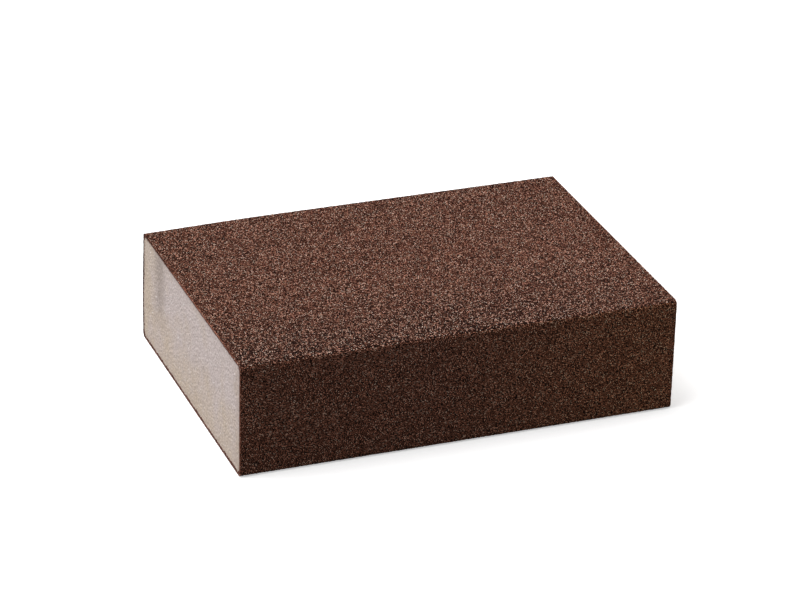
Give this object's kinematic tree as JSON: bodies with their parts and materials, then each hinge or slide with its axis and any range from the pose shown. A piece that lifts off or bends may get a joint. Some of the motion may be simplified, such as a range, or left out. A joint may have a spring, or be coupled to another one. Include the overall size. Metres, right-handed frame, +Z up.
{
  "type": "sanding block",
  "caption": "Hand-held foam sanding block with abrasive grit on its long faces and edges, and bare foam ends.",
  "frame": {"origin": "middle of the bottom face, on the surface that the block lies on", "axes": "+X along the block from one bare foam end to the other, +Y from the front face to the rear face, +Z up through the thickness"},
  "size_m": [0.098, 0.069, 0.026],
  "materials": {
    "foam": "matte",
    "bond_resin": "satin",
    "grit": "matte"
  },
  "bodies": {
    "root": {"foam_core": "foam", "top_bond_coat": "bond_resin", "bottom_bond_coat": "bond_resin", "front_bond_coat": "bond_resin", "rear_bond_coat": "bond_resin", "top_grit": "grit", "bottom_grit": "grit", "front_grit": "grit", "rear_grit": "grit"}
  },
  "joints": []
}
